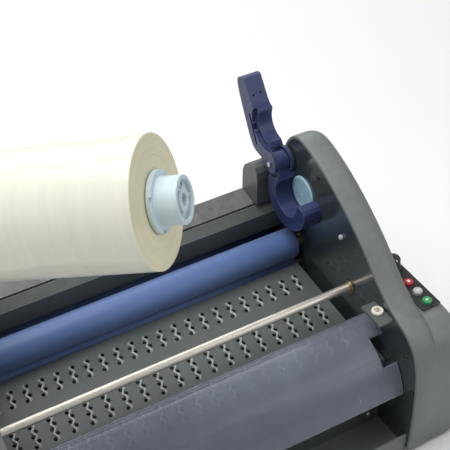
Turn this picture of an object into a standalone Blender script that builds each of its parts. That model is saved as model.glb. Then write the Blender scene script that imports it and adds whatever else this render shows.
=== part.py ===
"""Desktop roll laminator with a hand-loaded film roll, two latch arms and a hinged safety shield.

Frame: X across the machine, front is -Y, Z up, tabletop at Z = 0. Y = 0 is the plane of the two laminating roller axes.
All numbers below are millimetres and are turned into metres when the meshes are made.
"""

import math

import bmesh
import bpy
from mathutils import Matrix, Vector

MM = 0.001
GAP = 0.3

# Driving dimensions
PANEL_X = 178.5  # inner face of each side panel
PANEL_T = 3.0
FIN_T = 31.0  # side fin thickness across X
WIDE_X = 238.0  # outer face of the lower side body
BASE_Z = 3.0
ROLLER_R, ROLLER_HALF, SHAFT_R = 15.0, 172.8, 6.0
UPPER, LOWER = (0.0, 116.0), (0.0, 86.0)
PULL_R, PULL_SHAFT_R = 12.0, 5.0
PULL_Y = math.sqrt(48.0**2 - 3.0**2)
PULL_UP, PULL_LOW = (PULL_Y, 113.0), (PULL_Y, 89.0)
GEAR_MODULE, GEAR_X0, GEAR_X1 = 1.0, 189.0, 197.0
TEETH_MAIN, TEETH_IDLER, TEETH_PULL, TEETH_PINION = 30, 21, 24, 15
IDLER_GEAR = (PULL_Y * 25.5 / 48, 86.0 + 3.0 * 25.5 / 48)
PINION = (22.5 * math.cos(math.radians(-110)), 86.0 + 22.5 * math.sin(math.radians(-110)))
ROD = (-91.0, 126.5)
ROD_R = 4.0
SEAT = (-8.0, 181.0)
HINGE = (20.0, 205.0)
ARM_OPEN_DEG = 56.0
ARM_X0, ARM_X1, ARM_WALL = 157.5, 176.5, 3.0
PEG = (-72.8, 173.9)
SHIELD_AXIS = (-122.0, 112.0)
FILM_R, FILM_LEN, CORE_R = 47.5, 305.0, 19.0
CAP_FLANGE_R, CAP_FLANGE_T, HUB_R, HUB_L = 22.25, 4.0, 17.2, 16.5
ROLL_CENTRE = (-163.4, -69.8, 338.4)
ROLL_AXIS = (0.7056, -0.6549, 0.2706)
DECK_BACK, DECK_FRONT = (-14.4, 100.0), (-150.0, 87.7)
VENT_ROWS = ((-36.5, 10.5, 22, 14.9), (-79.5, 15.5, 19, 17.33), (-117.0, 13.0, 19, 17.33))  # y, half length, count, pitch
VENT_LEAN = 0.12
KNOB_AT = (220.0, -99.0)
BUTTONS_AT = ((220.0, -152.0), (220.0, -138.0), (220.0, -124.0))
ROCKER_AXIS = (101.5, 33.0)

PANEL = [(-198, 5.6), (-199, 60), (-196, 104), (-189, 122), (-178, 133), (-163, 139.3), (-147, 146), (-131, 156.5),
         (-117, 170), (-97, 187), (-78, 200.5), (-58, 212.8), (-39, 222.5), (-20, 230), (-4, 234.6), (6, 234.8),
         (14, 231), (20.5, 223.5), (25.5, 213), (29.4, 201.7), (34, 190), (44, 178), (59, 162), (80, 131), (97, 104),
         (106, 60), (108, 5.6)]
WIDE = [(-200, 3.6), (-201, 60), (-198, 103), (-189, 122), (-176, 131), (-160, 136), (-30, 136), (40, 129), (78, 118),
        (97, 100), (108, 60), (110, 3.6)]

for old in list(bpy.data.objects):
    bpy.data.objects.remove(old, do_unlink=True)

materials = {}


def material(name, color, metallic=0.0, rough=0.5, alpha=1.0):
    mat = bpy.data.materials.new(name)
    mat.use_nodes = True
    shader = mat.node_tree.nodes["Principled BSDF"]
    shader.inputs["Base Color"].default_value = (*color, 1)
    shader.inputs["Metallic"].default_value = metallic
    shader.inputs["Roughness"].default_value = rough
    shader.inputs["Alpha"].default_value = alpha
    mat.diffuse_color = (*color, alpha)
    return mat


def solid(name, verts, faces, look=None, at=(0, 0, 0), rotation=None):
    """An object from millimetre points in the machine's frame, with its origin at the point 'at'."""
    mesh = bpy.data.meshes.new(name)
    origin = Vector(at)
    turn = rotation.to_matrix().inverted() if rotation else Matrix.Identity(3)
    mesh.from_pydata([turn @ (Vector(v) - origin) * MM for v in verts], [], faces)
    work = bmesh.new()
    work.from_mesh(mesh)
    bmesh.ops.remove_doubles(work, verts=work.verts, dist=1e-7)
    bmesh.ops.recalc_face_normals(work, faces=work.faces)
    work.to_mesh(mesh)
    work.free()
    obj = bpy.data.objects.new(name, mesh)
    obj.location = origin * MM
    if rotation:
        obj.rotation_mode = "QUATERNION"
        obj.rotation_quaternion = rotation
    bpy.context.scene.collection.objects.link(obj)
    if look:
        obj.data.materials.append(material(name + "_finish", *look))
    else:
        obj.hide_render = True
        obj.display_type = "WIRE"
    return obj


def loft(name, rings, look=None, at=(0, 0, 0)):
    """A closed body through rings of equal length, each a list of (x, y, z)."""
    n = len(rings[0])
    verts = [p for ring in rings for p in ring]
    faces = [tuple(range(n)), tuple(range(len(verts) - n, len(verts)))]
    for k in range(len(rings) - 1):
        for i in range(n):
            j = (i + 1) % n
            faces.append((k * n + i, k * n + j, (k + 1) * n + j, (k + 1) * n + i))
    return solid(name, verts, faces, look, at)


def prism(name, outline, x0, x1, look=None, at=(0, 0, 0)):
    return loft(name, [[(x, y, z) for y, z in outline] for x in (x0, x1)], look, at)


def hollow_prism(name, outer, inner, x0, x1, look=None, at=(0, 0, 0)):
    """A prism with a hole: both outlines have the same number of points."""
    n = len(outer)
    verts = [(x, y, z) for x in (x0, x1) for loop in (outer, inner) for y, z in loop]
    faces = []
    for i in range(n):
        j = (i + 1) % n
        a, b, c, d = 0, n, 2 * n, 3 * n
        faces += [(a + i, a + j, b + j, b + i), (c + i, d + i, d + j, c + j),
                  (a + i, c + i, c + j, a + j), (b + i, b + j, d + j, d + i)]
    return solid(name, verts, faces, look, at)


def circle(centre, r, n=32, start=0.0, sweep=360.0):
    steps = n if sweep == 360.0 else n + 1
    return [(centre[0] + r * math.cos(math.radians(start + sweep * i / n)),
             centre[1] + r * math.sin(math.radians(start + sweep * i / n))) for i in range(steps)]


def rod_x(name, centre, r, x0, x1, look=None, n=32, at=None):
    return prism(name, circle(centre, r, n), x0, x1, look, at or (0, 0, 0))


def rod_z(name, x, y, r, z0, z1, look=None, n=24, at=(0, 0, 0)):
    return loft(name, [[(px, py, z) for px, py in circle((x, y), r, n)] for z in (z0, z1)], look, at)


def box(name, x0, x1, y0, y1, z0, z1, look=None, at=(0, 0, 0)):
    return prism(name, [(y0, z0), (y1, z0), (y1, z1), (y0, z1)], x0, x1, look, at)


def turned(name, profile, look, n=48, centre=(0, 0), at=(0, 0, 0)):
    """A closed (x, r) loop turned about an axis along X. A loop that starts and ends at r = 0 is solid there."""
    count = len(profile)
    verts, faces = [], []
    for i in range(n):
        a = 2 * math.pi * i / n
        for x, r in profile:
            verts.append((x, centre[0] + r * math.cos(a), centre[1] + r * math.sin(a)))
    for i in range(n):
        j = (i + 1) % n
        for k in range(count):
            m = (k + 1) % count
            if m == 0 and profile[0][1] == 0:
                continue
            faces.append((i * count + k, i * count + m, j * count + m, j * count + k))
    return solid(name, verts, faces, look, at)


def inset(outline, d):
    """The outline moved inwards by d (outwards when d is negative)."""
    area = sum(a[0] * b[1] - b[0] * a[1] for a, b in zip(outline, outline[1:] + outline[:1]))
    sign = 1 if area > 0 else -1
    out = []
    for i, p in enumerate(outline):
        before = Vector((p[0] - outline[i - 1][0], p[1] - outline[i - 1][1])).normalized()
        after = outline[(i + 1) % len(outline)]
        after = Vector((after[0] - p[0], after[1] - p[1])).normalized()
        n1 = Vector((-before.y, before.x)) * sign
        n2 = Vector((-after.y, after.x)) * sign
        mid = n1 + n2
        mid = mid / max(mid.length_squared / 2, 0.6)
        out.append((p[0] + mid.x * d, p[1] + mid.y * d))
    return out


def boolean(obj, other, operation="DIFFERENCE"):
    step = obj.modifiers.new(operation.lower(), "BOOLEAN")
    step.operation = operation
    step.solver = "EXACT"
    step.object = other
    return obj


def mirror_x(outline_rings, side):
    return [[(side * x, y, z) for x, y, z in ring] for ring in outline_rings]


def sides():
    return (("right", 1), ("left", -1))


# Looks: base colour, metallic, roughness, alpha
RIM = ((0.20, 0.215, 0.21), 0.0, 0.45)
DARK_PANEL = ((0.03, 0.036, 0.038), 0.0, 0.12)
DECK_GREY = ((0.14, 0.16, 0.155), 0.1, 0.45)
NAVY = ((0.035, 0.045, 0.15), 0.0, 0.4)
PALE_BLUE = ((0.30, 0.50, 0.56), 0.0, 0.4)
ROLLER_BLUE = ((0.10, 0.15, 0.42), 0.0, 0.55)
STEEL = ((0.55, 0.55, 0.56), 1.0, 0.3)
CHROME = ((0.8, 0.78, 0.74), 1.0, 0.1)
BRASS = ((0.62, 0.45, 0.2), 1.0, 0.3)
BLACK = ((0.02, 0.02, 0.022), 0.0, 0.5)
CREAM = ((0.85, 0.82, 0.70), 0.0, 0.6)
WHITE = ((0.9, 0.9, 0.86), 0.0, 0.4)
SMOKE = ((0.12, 0.14, 0.19), 0.0, 0.1, 0.55)

# Base pan: a folded tray that joins the two side bodies
prism("base_pan", [(-196, BASE_Z), (104, BASE_Z), (104, 5.2), (102.6, 5.2), (102.6, 18), (100.6, 18), (100.6, 5.2),
                   (-194, 5.2), (-194, 22), (-196, 22)], -178, 178, ((0.16, 0.17, 0.17), 0.6, 0.5))

for side, s in sides():
    # Side cover: a tall thin fin joined to a lower, wider body, hollow, open towards the side panel
    rim = inset(PANEL, -2.6)
    fin = []
    for x, d in ((PANEL_X, 0.8), (PANEL_X + 0.8, 0), (PANEL_X + 15, 0), (PANEL_X + 23, 1.9), (PANEL_X + 28.1, 6),
                 (PANEL_X + FIN_T, 14)):
        fin.append([(s * x, y, z) for y, z in inset(rim, d)])
    cover = loft(f"side_cover_{side}", fin, RIM)
    wide = []
    for x, d in ((PANEL_X + 1.2, 0), (WIDE_X - 14, 0), (WIDE_X - 7, 1.9), (WIDE_X - 2, 6.5), (WIDE_X, 14)):
        wide.append([(s * x, y, z) for y, z in inset(WIDE, d)])
    boolean(cover, loft(f"cut_wide_{side}", wide), "UNION")
    hollow = [(PANEL_X - 1, 0), (PANEL_X + 18, 0), (PANEL_X + 22, 2.6), (PANEL_X + 25.5, 6.5)]
    boolean(cover, loft(f"cut_fin_{side}", [[(s * x, y, z) for y, z in inset(PANEL, d)] for x, d in hollow]))
    room = [(PANEL_X + 4.2, 2.6), (WIDE_X - 14.5, 2.6), (WIDE_X - 8, 4.6), (WIDE_X - 3, 11)]
    boolean(cover, loft(f"cut_room_{side}", [[(s * x, y, z) for y, z in inset(WIDE, d)] for x, d in room]))
    if s > 0:
        for i, (x, y) in enumerate(BUTTONS_AT):
            boolean(cover, rod_z(f"cut_button_{i}", x, y, 5.0, 128, 142))
        boolean(cover, rod_z("cut_knob", *KNOB_AT, 3.4, 128, 142))

    # Side panel: the glossy dark plate that carries every shaft end
    panel = prism(f"inner_panel_{side}", inset(PANEL, GAP), s * PANEL_X, s * (PANEL_X + PANEL_T), DARK_PANEL)
    for i, (at, r) in enumerate(((UPPER, 8.0), (LOWER, 8.0), (PULL_UP, 6.0), (PULL_LOW, 6.0), (ROD, 4.5),
                                 (SHIELD_AXIS, 4.4))):
        boolean(panel, rod_x(f"cut_panel_{side}_{i}", at, r, s * (PANEL_X - 2), s * (PANEL_X + PANEL_T + 2), n=32))

    # Bearing block: one piece with a long nose for each laminating roller shaft
    bx0, bx1 = PANEL_X + PANEL_T + GAP, PANEL_X + PANEL_T + 6.5
    block = box(f"bearing_block_{side}", s * bx0, s * bx1, -14, 61, 74, 129, BRASS)
    for i, at in enumerate((UPPER, LOWER)):
        boolean(block, rod_x(f"add_nose_{side}_{i}", at, 7.6, s * (PANEL_X - 4.2), s * (bx0 + 2), n=32), "UNION")
        boolean(block, rod_x(f"cut_bore_{side}_{i}", at, SHAFT_R + 0.06, s * 160, s * 200, n=32))
    for i, at in enumerate((PULL_UP, PULL_LOW)):
        boolean(block, rod_x(f"cut_pull_bore_{side}_{i}", at, PULL_SHAFT_R + 0.06, s * 160, s * 200, n=32))
    if s > 0:
        boolean(block, rod_x("cut_idler_bore", IDLER_GEAR, 3.06, 160, 200, n=32))

    # Idler rod bush
    n = 32
    hollow_prism(f"rod_bush_{side}", circle(ROD, 6.7, n), circle(ROD, ROD_R + 0.06, n), s * (PANEL_X - 3.4),
                 s * (PANEL_X - GAP), BRASS)

    # Film roll cradle with the latch arm's hinge boss
    outline = circle(SEAT, 18.0, 26, 40, -228)
    outline += [(-26.2, 183.6), (-27.6, 185.6), (-35.5, 184.9), (-38.6, 182.0), (-39.6, 176)]
    outline += circle(SEAT, 32.0, 20, 203, 177)
    outline += circle(HINGE, 10.0, 14, -40, 240)
    outline += [(9.0, 198.0)]
    cradle = prism(f"cradle_{side}", outline, s * (PANEL_X - 20), s * (PANEL_X - GAP), NAVY)
    boolean(cradle, rod_x(f"cut_swing_{side}", HINGE, 14.2, s * (ARM_X1 - ARM_WALL - 0.6), s * (PANEL_X + 2), n=40))
    boolean(cradle, rod_x(f"cut_flank_{side}", HINGE, 14.2, s * 150, s * (ARM_X0 + ARM_WALL + 0.6), n=40))
    boolean(cradle, rod_x(f"cut_pin_{side}", HINGE, 2.8, s * 140, s * 190, n=24))

    # Hub disc on the panel, behind the cradle
    turned(f"hub_disc_{side}", [(s * (PANEL_X - 1.8), 0), (s * (PANEL_X - 1.8), 16.8), (s * (PANEL_X - 1.3), 17.3),
                                (s * (PANEL_X - GAP), 17.3), (s * (PANEL_X - GAP), 0)], PALE_BLUE, 40, SEAT)

    # Latch arm: a channel moulding, shown open
    c, w = math.cos(math.radians(ARM_OPEN_DEG)), math.sin(math.radians(ARM_OPEN_DEG))

    def arm(points):
        return [(HINGE[0] + c * u - w * v, HINGE[1] + w * u + c * v) for u, v in points]

    outline = circle((0, 0), 9.5, 12, 100, 170)
    outline += [(8, -14.5), (14.5, -21.0), (21, -24.0), (33, -24.2), (58, -22.0), (76, -19.4), (82, -17.8),
                (85.4, -15.0), (86.4, -11.0), (86.0, -6.0), (84.0, -3.4), (60, -2.6), (54.5, -1.6), (51.5, 0.8)]
    outline += circle((34.4, 11.5), 18.6, 14, -36, -116)
    outline += [(13.0, 7.6), (6.0, 9.3)]
    at = (s * (ARM_X0 + ARM_X1) / 2, *HINGE)
    body = prism(f"latch_arm_{side}", arm(outline), s * ARM_X0, s * ARM_X1, NAVY, at)
    relief = [(3.5, 6), (9, 1), (16.4, 0.4), (19.6, 0.4), (19.6, 13), (3.5, 13)]
    boolean(body, prism(f"cut_relief_{side}", arm(relief), s * (ARM_X0 + ARM_WALL), s * (ARM_X1 + 1)))
    boolean(body, rod_x(f"add_lug_{side}", HINGE, 13.2, s * (ARM_X1 - ARM_WALL), s * ARM_X1, n=36), "UNION")
    boolean(body, rod_x(f"cut_barrel_{side}", HINGE, 11.0, s * (ARM_X0 + ARM_WALL), s * (ARM_X1 - ARM_WALL), n=36))
    boolean(body, prism(f"cut_flange_{side}", arm(circle((34.4, 11.5), 23.8, 40)), s * (ARM_X0 - 1),
                        s * (ARM_X0 + ARM_WALL + 1)))
    boolean(body, rod_x(f"cut_armpin_{side}", HINGE, 2.8, s * 140, s * 190, n=24))
    slot = circle((20, -15.5), 1.6, 8, 100, 180) + circle((49, -12.2), 1.6, 8, -80, 180)
    boolean(body, prism(f"cut_slot_{side}", arm(slot), s * (ARM_X0 - 1), s * (ARM_X0 + 6)))

    rod_x(f"hinge_pin_{side}", HINGE, 2.5, s * (ARM_X0 - 1.5), s * (PANEL_X - 1.0), STEEL, 24)
    turned(f"panel_peg_{side}", [(s * (PANEL_X - 3.4), 0), (s * (PANEL_X - 3.4), 1.7), (s * (PANEL_X - 2.6), 2.5),
                                 (s * (PANEL_X - GAP), 2.5), (s * (PANEL_X - GAP), 0)], WHITE, 20, PEG)

    # Small shelf with a round bumper
    pad = [(-156.4, 135.6), (-128.6, 135.6), (-128, 136.4), (-128, 138.2), (-128.8, 139), (-156.2, 139), (-157, 138.2),
           (-157, 136.4)]
    prism(f"shelf_pad_{side}", pad, s * (PANEL_X - 15), s * (PANEL_X - GAP), DECK_GREY)
    loft(f"bumper_{side}", [[(s * (PANEL_X - 6.4) + px, -141.5 + py, z) for px, py in circle((0, 0), r, 28)]
                            for r, z in ((5.2, 139.3), (5.6, 139.9), (5.6, 141.0), (4.7, 142.0))], CREAM)

    for end, y in (("front", -165), ("rear", 75)):
        loft(f"foot_{end}_{side}", [[(s * 209 + px, y + py, z) for px, py in circle((0, 0), r, 24)]
                                    for r, z in ((8.2, 0), (9.4, 0.8), (9.4, 2.7))], BLACK)

# Rear cover with an ear at each end. It stops at the exit slot, which the rear panel below it leaves open
PARTING_Z = 107.0


def on_line(p, q, z):
    return (p[0] + (q[0] - p[0]) * (z - p[1]) / (q[1] - p[1]), z)


outer_line, inner_line = ((58, 153.2), (93, 104)), ((56.9, 150.3), (90.6, 103))
rear = prism("rear_cover", [(36.3, 148.3), (58, 153.2), on_line(*outer_line, PARTING_Z), on_line(*inner_line, PARTING_Z),
                            (56.9, 150.3), (36.3, 145.6)], -178.2, 178.2, RIM)
ear = [(37.4, 147.6), (57.0, 151.6), (58.0, 156), (57.4, 177), (54.2, 185), (47.8, 191), (41, 193.4), (35.4, 192),
       (31.8, 187.6), (30.6, 181), (30.6, 150.8), (36.6, 150.8)]
for side, s in sides():
    boolean(rear, prism(f"add_ear_{side}", ear, s * 150.5, s * 178.2), "UNION")
lower_z = PARTING_Z - GAP
rear = prism("rear_panel", [on_line(*outer_line, lower_z), (93, 104), (104.5, 60), (107.5, 6), (104.9, 6), (101.9, 59.8),
                            (90.6, 103), on_line(*inner_line, lower_z)], -178.2, 178.2, RIM)
boolean(rear, box("cut_exit", -160, 160, 80, 112, 95.5, 112))
boolean(rear, box("cut_inlet", -150.5, -122.5, 95, 112, 22.5, 43.5))
boolean(rear, box("cut_rocker", -107.2, -91.8, 95, 112, 21.5, 44.5))
prism("nip_guard", [(34.8, 147.2), (26.0, 139.2), (26.0, 119), (28.4, 119), (28.4, 138.1), (34.8, 143.9)], -178.2,
      178.2, ((0.24, 0.26, 0.26), 0.3, 0.4))

# Vented feed deck and the apron below its front edge
slope = (DECK_BACK[1] - DECK_FRONT[1]) / (DECK_BACK[0] - DECK_FRONT[0])
deck = prism("feed_deck", [DECK_BACK, DECK_FRONT, (DECK_FRONT[0], DECK_FRONT[1] - 1.6),
                           (DECK_BACK[0], DECK_BACK[1] - 1.6)], -171.5, 171.5, DECK_GREY)
verts, faces = [], []
for row_y, reach, count, pitch in VENT_ROWS:
    for k in range(count):
        cx = pitch * ((count - 1) / 2 - k)
        lean = VENT_LEAN * reach
        shape = [(lean - 1.7, reach), (lean + 1.7, reach), (lean / 2 + 2.9, reach / 2), (1.0, 0), (2.2 - lean / 2, -reach / 2),
                 (1.7 - lean, -reach), (-1.7 - lean, -reach), (-1.0 - lean / 2, -reach / 2), (-2.4, 0),
                 (lean / 2 - 0.6, reach / 2)]
        start = len(verts)
        for z in (80, 105):
            verts += [(cx + x, row_y + y, z) for x, y in shape]
        m = len(shape)
        faces.append(tuple(start + i for i in range(m)))
        faces.append(tuple(start + m + i for i in reversed(range(m))))
        faces += [(start + i, start + m + i, start + m + (i + 1) % m, start + (i + 1) % m) for i in range(m)]
boolean(deck, solid("cut_vents", verts, faces))
prism("front_apron", [(-153, 85.5), (-153, 5.6), (-151, 5.6), (-151, 83.6), (-138, 84.8), (-138, 86.6)], -177.8,
      177.8, DECK_GREY)

# Safety shield: a bent clear sheet carried on a full-width hinge rod
top = [(-113.2, 110.4), (-117.0, 113.6), (-122, 115.6), (-136, 115.9), (-148, 113.8), (-158, 108.8), (-167, 100.6),
       (-175, 89.6), (-181, 77.6), (-184, 68)]
under = [(-115.0, 108.6), (-118.2, 111.0), (-122, 112.8), (-135.7, 113.1), (-147.1, 111.1), (-156.4, 106.5), (-164.9, 98.7),
         (-172.6, 88.2), (-178.4, 76.6), (-181.3, 67.2)]
shield = prism("safety_shield", top + under[::-1], -177.6, 177.6, SMOKE, (0, *SHIELD_AXIS))
for side, s in sides():
    boolean(shield, box(f"cut_notch_{side}", s * 161.8, s * 180, -169.5, -145.0, 95, 120))
boolean(shield, rod_x("add_hinge_rod", SHIELD_AXIS, 4.0, -PANEL_X - 2.6, PANEL_X + 2.6, n=28), "UNION")

# Rollers
n = 48
for tag, at in (("upper", UPPER), ("lower", LOWER)):
    hollow_prism(f"{tag}_roller", circle(at, ROLLER_R, n), circle(at, SHAFT_R + GAP, n), -ROLLER_HALF, ROLLER_HALF,
                 ROLLER_BLUE, (0, *at))
    rod_x(f"{tag}_roller_shaft", at, SHAFT_R, -189, 198, STEEL, 32, (0, *at))
for tag, at in (("upper", PULL_UP), ("lower", PULL_LOW)):
    pull = rod_x(f"{tag}_pull_roller", at, PULL_R - (0.1 if tag == "upper" else 0), -172, 172, ROLLER_BLUE, 40, (0, *at))
    boolean(pull, rod_x(f"add_pull_{tag}", at, PULL_SHAFT_R, -189, 198, n=32), "UNION")
rod_x("idler_rod", ROD, ROD_R, -183, 183, CHROME, 32, (0, *ROD))


# Drive gears, all in one plane at the right-hand end
def gear(name, at, teeth, phase_deg, bore, look):
    r = teeth * GEAR_MODULE / 2
    outer = []
    for t in range(teeth):
        for part, radius in ((-0.29, r - 1.15), (-0.11, r + 0.85), (0.11, r + 0.85), (0.29, r - 1.15)):
            a = math.radians(phase_deg) + 2 * math.pi * (t + part) / teeth
            outer.append((at[0] + radius * math.cos(a), at[1] + radius * math.sin(a)))
    start = math.degrees(math.atan2(outer[0][1] - at[1], outer[0][0] - at[0]))
    inner = circle(at, bore, len(outer), start)
    return hollow_prism(name, outer, inner, GEAR_X0, GEAR_X1, look, (0, *at))


def phase(from_at, to_at, from_phase, from_teeth, to_teeth):
    """The second gear's phase that puts a gap of it over a tooth of the first."""
    line = math.degrees(math.atan2(to_at[1] - from_at[1], to_at[0] - from_at[0]))
    ahead = (line - from_phase) / (360 / from_teeth)
    offset = ahead - math.floor(ahead)
    return line + 180 + (0.5 + offset) * 360 / to_teeth


STEEL_GEAR = ((0.42, 0.42, 0.43), 1.0, 0.4)
NYLON = ((0.82, 0.80, 0.72), 0.0, 0.5)
gear("lower_roller_gear", LOWER, TEETH_MAIN, 0, SHAFT_R + GAP, STEEL_GEAR)
gear("upper_roller_gear", UPPER, TEETH_MAIN, phase(LOWER, UPPER, 0, TEETH_MAIN, TEETH_MAIN), SHAFT_R + GAP, STEEL_GEAR)
idler_phase = phase(LOWER, IDLER_GEAR, 0, TEETH_MAIN, TEETH_IDLER)
idler = gear("idler_gear", IDLER_GEAR, TEETH_IDLER, idler_phase, 2.2, NYLON)
boolean(idler, rod_x("add_idler_stub", IDLER_GEAR, 3.0, PANEL_X + PANEL_T + 1.0, GEAR_X0 + 6, n=32), "UNION")
low_phase = phase(IDLER_GEAR, PULL_LOW, idler_phase, TEETH_IDLER, TEETH_PULL)
gear("lower_pull_gear", PULL_LOW, TEETH_PULL, low_phase, PULL_SHAFT_R + GAP, NYLON)
gear("upper_pull_gear", PULL_UP, TEETH_PULL, phase(PULL_LOW, PULL_UP, low_phase, TEETH_PULL, TEETH_PULL),
     PULL_SHAFT_R + GAP, NYLON)
gear("motor_pinion", PINION, TEETH_PINION, phase(LOWER, PINION, 0, TEETH_MAIN, TEETH_PINION), 2.3, BRASS)

# Gear motor in the right-hand body
motor = turned("gear_motor", [(GEAR_X0 + 1, 0), (GEAR_X0 + 1, 2.0), (198.4, 2.0), (198.4, 19), (206, 19), (206, 16.5),
                              (230, 16.5), (231.5, 15), (231.5, 0)], ((0.35, 0.36, 0.37), 0.8, 0.4), 40, PINION)
boolean(motor, box("add_motor_mount", 199.5, 204.5, PINION[0] - 24, PINION[0] + 24, 40, 90), "UNION")

# Electronics
board = box("control_board", -60, 60, -112, -42, 16, 17.6, ((0.02, 0.14, 0.06), 0.0, 0.4))
for i, (x, y) in enumerate(((-55, -107), (55, -107), (-55, -47), (55, -47))):
    boolean(board, rod_z(f"add_standoff_{i}", x, y, 2.6, 5.5, 16.8, n=12), "UNION")
box("power_supply", -150, -80, -70, 30, 5.5, 52, ((0.3, 0.31, 0.32), 0.7, 0.45))

# Controls on the right-hand body
keys = box("control_panel", 210, 230, -159, -87.5, 136.3, 137.6, ((0.03, 0.032, 0.035), 0.0, 0.3))
for i, (x, y) in enumerate(BUTTONS_AT):
    boolean(keys, rod_z(f"cut_key_{i}", x, y, 5.0, 130, 142))
boolean(keys, rod_z("cut_knob_hole", *KNOB_AT, 3.4, 130, 142))
for name, (x, y), look in zip(("run_button", "reverse_button", "stop_button"), BUTTONS_AT,
                              (((0.05, 0.35, 0.12), 0, 0.4), ((0.55, 0.56, 0.55), 0, 0.4), ((0.5, 0.03, 0.03), 0, 0.4))):
    loft(name, [[(x + px, y + py, z) for px, py in circle((0, 0), r, 24)] for r, z in ((4.6, 131), (4.6, 139.6), (4.0, 140.3))],
         look, (x, y, 136))
knob = loft("speed_knob", [[(KNOB_AT[0] + px, KNOB_AT[1] + py, z) for px, py in circle((0, 0), r, 32)]
                           for r, z in ((8.6, 137.9), (8.6, 140), (7.4, 141), (7.0, 149), (6.0, 150))],
            ((0.03, 0.03, 0.032), 0, 0.4), (*KNOB_AT, 140))
boolean(knob, rod_z("add_knob_stem", *KNOB_AT, 3.0, 130, 139), "UNION")

# Power switch and inlet in the rear cover
rocker = [(107.9, 42.6), (109.4, 41.6), (106.6, 33.0), (106.9, 24.0), (105.4, 23.4), (97.5, 27), (97.5, 39)]
prism("power_rocker", rocker, -106.6, -92.4, BLACK, (-99.5, *ROCKER_AXIS))
inlet = box("power_inlet", -150, -123, 84, 108, 23, 43, BLACK)
boolean(inlet, box("add_inlet_rim", -153, -120, 108 - 0.2, 110.2, 20.5, 45.5), "UNION")
boolean(inlet, prism("cut_socket", [(94, 26), (112, 26), (112, 40), (94, 40)], -147.5, -125.5))

# Film roll: film on its core, with a moulded cap in each end, held ready to be lowered into the cradles
axis = Vector(ROLL_AXIS).normalized()
turn = Vector((1, 0, 0)).rotation_difference(axis)
centre = Vector(ROLL_CENTRE)


def roll_piece(name, profile, look, n=56):
    piece = turned(name, profile, look, n)
    piece.rotation_mode = "QUATERNION"
    piece.rotation_quaternion = turn
    piece.location = centre * MM
    return piece


half = FILM_LEN / 2
roll_piece("film_winding", [(-half, CORE_R + GAP), (-half, FILM_R - 0.5), (-half + 0.6, FILM_R), (half - 0.6, FILM_R),
                            (half, FILM_R - 0.5), (half, CORE_R + GAP)], WHITE, 60)
roll_piece("film_core", [(-half, 16.6), (-half, CORE_R), (half, CORE_R), (half, 16.6)],
           ((0.55, 0.45, 0.30), 0, 0.8), 36)
for side, s in sides():
    roll_piece(f"roll_cap_{side}", [(s * (half - 20), 0), (s * (half - 20), 16.0), (s * (half - 18), 16.3),
                                    (s * (half + GAP), 16.3), (s * (half + GAP), CAP_FLANGE_R),
                                    (s * (half + CAP_FLANGE_T), CAP_FLANGE_R), (s * (half + CAP_FLANGE_T), HUB_R),
                                    (s * (half + CAP_FLANGE_T + HUB_L - 0.8), HUB_R),
                                    (s * (half + CAP_FLANGE_T + HUB_L), HUB_R - 0.8),
                                    (s * (half + CAP_FLANGE_T + HUB_L), 13.8),
                                    (s * (half + CAP_FLANGE_T + HUB_L - 2), 13.2),
                                    (s * (half + CAP_FLANGE_T + HUB_L - 2), 8.4),
                                    (s * (half + CAP_FLANGE_T + HUB_L - 0.6), 7.8),
                                    (s * (half + CAP_FLANGE_T + HUB_L - 0.6), 4.2),
                                    (s * (half + CAP_FLANGE_T + HUB_L - 6), 3.8),
                                    (s * (half + CAP_FLANGE_T + HUB_L - 6), 0)], ((0.62, 0.76, 0.78), 0, 0.4), 36)
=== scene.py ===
"""Looks of the desktop roll laminator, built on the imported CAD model.

Lengths below are millimetres unless a name says otherwise."""

import math

import bmesh
import bpy
from mathutils import Matrix, Vector


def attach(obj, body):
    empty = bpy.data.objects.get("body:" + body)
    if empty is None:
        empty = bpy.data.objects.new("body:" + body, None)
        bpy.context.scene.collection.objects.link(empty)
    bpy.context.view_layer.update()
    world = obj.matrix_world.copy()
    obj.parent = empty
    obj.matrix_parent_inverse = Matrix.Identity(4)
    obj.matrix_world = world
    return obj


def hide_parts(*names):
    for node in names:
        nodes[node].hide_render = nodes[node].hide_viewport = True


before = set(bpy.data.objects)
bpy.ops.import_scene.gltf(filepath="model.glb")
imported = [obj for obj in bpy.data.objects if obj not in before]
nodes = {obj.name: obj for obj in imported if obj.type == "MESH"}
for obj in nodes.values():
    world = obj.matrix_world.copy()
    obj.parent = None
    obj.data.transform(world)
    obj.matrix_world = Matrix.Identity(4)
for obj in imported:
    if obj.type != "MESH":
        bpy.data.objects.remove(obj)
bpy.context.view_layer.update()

MM = 0.001
PANEL_X, PANEL_T, FIN_T, WIDE_X = 178.5, 3.0, 31.0, 238.0
UPPER, LOWER = (0.0, 116.0), (0.0, 86.0)
PULL_Y = math.sqrt(48.0**2 - 3.0**2)
PULL_UP, PULL_LOW = (PULL_Y, 113.0), (PULL_Y, 89.0)
ROD = (-91.0, 126.5)
SEAT, HINGE, PEG = (-8.0, 181.0), (20.0, 205.0), (-72.8, 173.9)
ARM_X0, ARM_X1, ARM_WALL, ARM_OPEN_DEG = 157.5, 176.5, 3.0, 56.0
SHIELD_AXIS = (-122.0, 112.0)
ROLLER_END, SHIELD_HALF, DECK_HALF = 172.8, 177.6, 171.5
VENT_STEP, VENT_WAVE, HOLE_OFF, HOLE_RX, HOLE_RY = 5.2, 1.4, 2.0, 1.8, 2.1
LATCH_SEAT_R, BOSS_CLEAR_R, LUG_R, BARREL_R, PIN_HOLE_R, FLANGE_CUT_R = 18.0, 14.2, 13.2, 11.0, 2.8, 23.8
FILM_R, FILM_LEN, CORE_R = 47.5, 305.0, 19.0
ROLL_CENTRE, ROLL_AXIS = (-163.4, -69.8, 338.4), (0.7056, -0.6549, 0.2706)
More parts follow.
